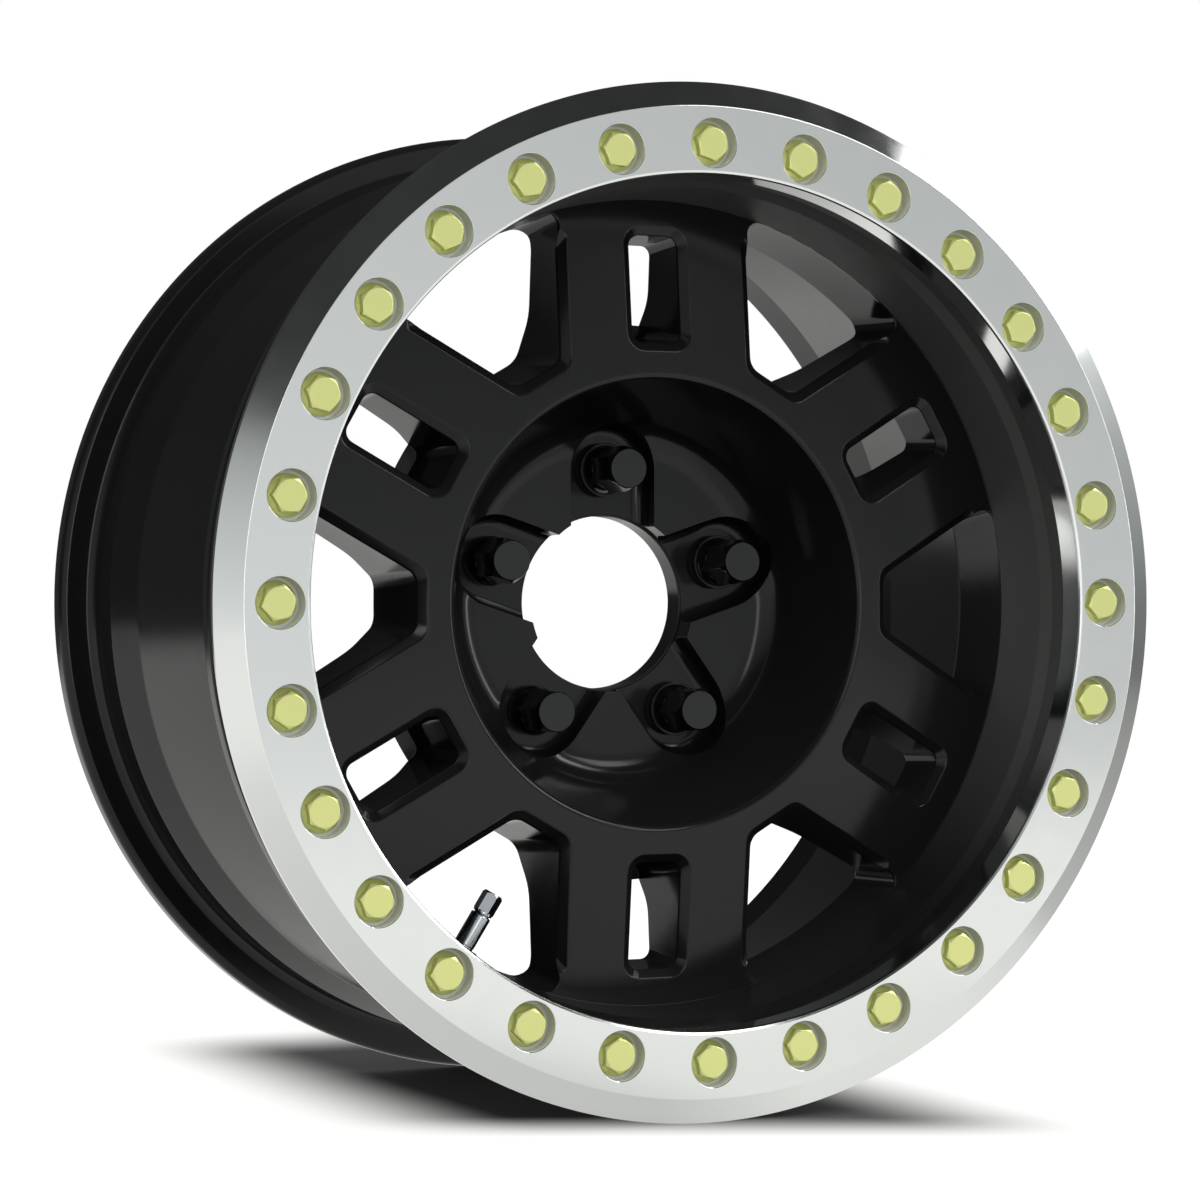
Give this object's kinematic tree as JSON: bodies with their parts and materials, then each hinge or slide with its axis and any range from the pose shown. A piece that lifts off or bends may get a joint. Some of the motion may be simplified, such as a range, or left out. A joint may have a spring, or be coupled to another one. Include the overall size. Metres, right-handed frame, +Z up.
{
  "type": "beadlock wheel",
  "caption": "Beadlock wheel: black spoked cast wheel with a bolted bright clamp ring, wheel nuts and a metal tyre valve.",
  "frame": {"origin": "on the wheel axis, midway between the face of the clamp ring and the back of the rear flange", "axes": "+Y along the wheel axis towards the vehicle side, so the clamp ring faces -Y; +Z up and +X to the right as seen from the front"},
  "size_m": [0.4713, 0.244, 0.4714],
  "materials": {
    "black_casting": "smooth satin black paint over cast aluminium",
    "machined_ring": "fine machined clear-coated aluminium",
    "yellow_zinc": "yellow zinc plated steel",
    "insert_steel": "plain steel",
    "black_chrome": "gloss black plated steel",
    "bright_valve": "bright nickel plated metal",
    "seal_rubber": "matt black rubber",
    "core_brass": "plain turned brass",
    "core_ring_plastic": "red sealing plastic"
  },
  "bodies": {
    "wheel": {"wheel_casting": "black_casting", "beadlock_ring": "machined_ring", "ring_bolts": "yellow_zinc", "thread_inserts": "insert_steel", "lug_nuts": "black_chrome", "valve_stem": "bright_valve", "valve_base_seal": "seal_rubber", "valve_washer": "bright_valve", "valve_nut": "bright_valve", "core_body": "core_brass", "core_seat_ring": "core_ring_plastic", "core_spring": "insert_steel"},
    "pin": {"core_pin": "core_brass", "core_cup": "seal_rubber"},
    "cap": {"valve_cap": "bright_valve", "cap_seal": "seal_rubber"}
  },
  "joints": [
    {"name": "cap_pull", "type": "slide", "parent": "wheel", "child": "cap", "axis": [0.4957, -0.1305, 0.8586], "range_m": [0, 0.02]},
    {"name": "core_pin_press", "type": "slide", "parent": "wheel", "child": "pin", "axis": [-0.4957, 0.1305, -0.8586], "range_m": [0, 0.0012], "stiffness_N_per_m": 900, "springref_m": -0.002, "deforming": ["core_spring"]}
  ]
}
